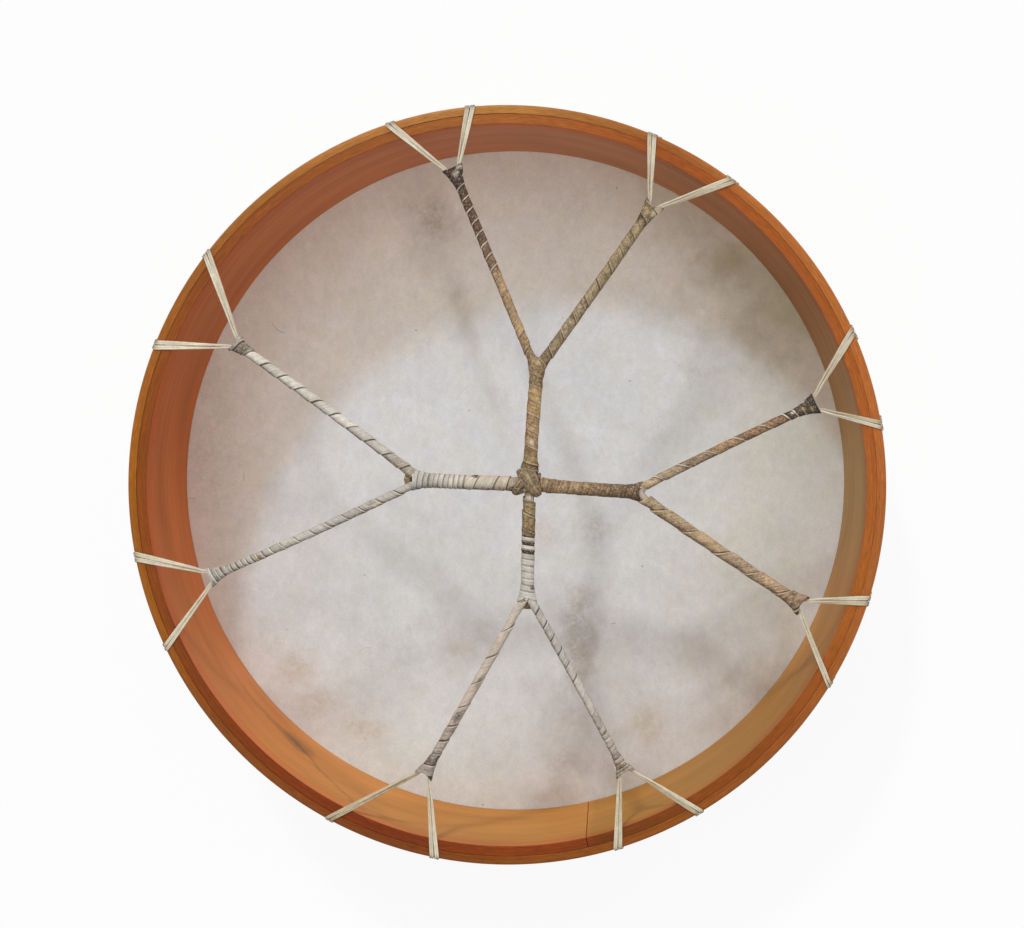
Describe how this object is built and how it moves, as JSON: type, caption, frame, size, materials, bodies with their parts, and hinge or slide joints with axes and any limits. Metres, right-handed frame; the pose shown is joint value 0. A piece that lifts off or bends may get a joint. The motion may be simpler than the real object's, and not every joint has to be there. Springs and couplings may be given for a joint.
{
  "type": "shaman drum",
  "caption": "Round hand-held frame drum: glued bent-wood hoop, rawhide head, and an open back laced into a wrapped cross-shaped grip.",
  "frame": {"origin": "middle of the head's outer face, on which the drum lies face down", "axes": "+Z along the drum's axis, out of its open back; +X and +Y to the right and up in a view from behind"},
  "size_m": [0.4076, 0.4093, 0.0785],
  "materials": {
    "outer_ply_wood": "oiled",
    "inner_ply_wood": "oiled",
    "rawhide_head": "dry rawhide",
    "lace": "dry rawhide strip",
    "pale_wrap": "dry rawhide strip",
    "brown_wrap": "dry rawhide strip"
  },
  "bodies": {
    "root": {"hoop_outer_ply": "outer_ply_wood", "hoop_inner_ply": "inner_ply_wood", "drumhead": "rawhide_head", "lace_loop_north_west_1": "lace", "lace_loop_north_west_2": "lace", "lace_loop_north_east_1": "lace", "lace_loop_north_east_2": "lace", "lace_loop_east_north_1": "lace", "lace_loop_east_north_2": "lace", "lace_loop_east_south_1": "lace", "lace_loop_east_south_2": "lace", "lace_loop_south_east_1": "lace", "lace_loop_south_east_2": "lace", "lace_loop_south_west_1": "lace", "lace_loop_south_west_2": "lace", "lace_loop_west_south_1": "lace", "lace_loop_west_south_2": "lace", "lace_loop_west_north_1": "lace", "lace_loop_west_north_2": "lace", "branch_bundle_north_west": "lace", "branch_bundle_north_east": "lace", "branch_bundle_east_north": "lace", "branch_bundle_east_south": "lace", "branch_bundle_south_east": "lace", "branch_bundle_south_west": "lace", "branch_bundle_west_south": "lace", "branch_bundle_west_north": "lace", "branch_wrap_north_west": "brown_wrap", "branch_wrap_north_east": "brown_wrap", "branch_wrap_east_north": "brown_wrap", "branch_wrap_east_south": "brown_wrap", "branch_wrap_south_east": "pale_wrap", "branch_wrap_south_west": "pale_wrap", "branch_wrap_west_south": "pale_wrap", "branch_wrap_west_north": "pale_wrap", "trunk_bundle_north": "lace", "trunk_bundle_east": "lace", "trunk_bundle_south": "lace", "trunk_bundle_west": "lace", "trunk_wrap_north": "brown_wrap", "trunk_wrap_east": "brown_wrap", "trunk_wrap_south": "pale_wrap", "trunk_wrap_west": "pale_wrap", "centre_bundle": "lace", "centre_lashing_inner": "brown_wrap", "centre_lashing_outer": "brown_wrap"}
  },
  "joints": []
}
